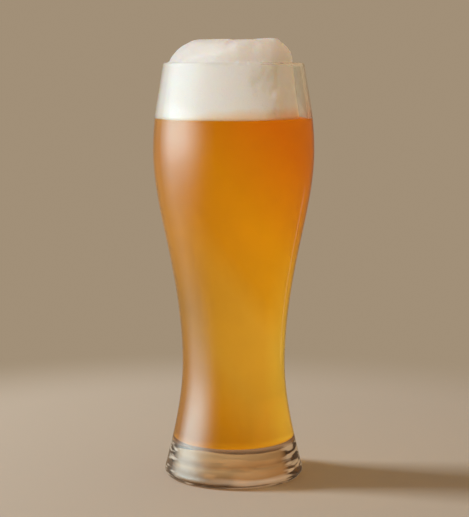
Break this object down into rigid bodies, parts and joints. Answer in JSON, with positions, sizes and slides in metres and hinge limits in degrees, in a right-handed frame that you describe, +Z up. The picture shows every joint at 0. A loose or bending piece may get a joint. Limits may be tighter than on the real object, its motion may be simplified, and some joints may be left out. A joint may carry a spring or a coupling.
{
  "type": "weizen glass with wheat beer",
  "caption": "Tall waisted beer glass with a thick solid base, filled with cloudy amber wheat beer under a tall white head of foam.",
  "frame": {"origin": "on the table, at the centre of the foot", "axes": "+Z up along the axis of the glass; -Y faces the viewer of the picture and +X is to the viewer's right, where the foam stands clear of the wall"},
  "size_m": [0.0872, 0.0872, 0.239],
  "materials": {
    "clear_glass": "gloss",
    "wheat_beer": "gloss",
    "beer_foam": "matte"
  },
  "bodies": {
    "root": {"glass": "clear_glass", "beer": "wheat_beer", "foam": "beer_foam"}
  },
  "joints": []
}
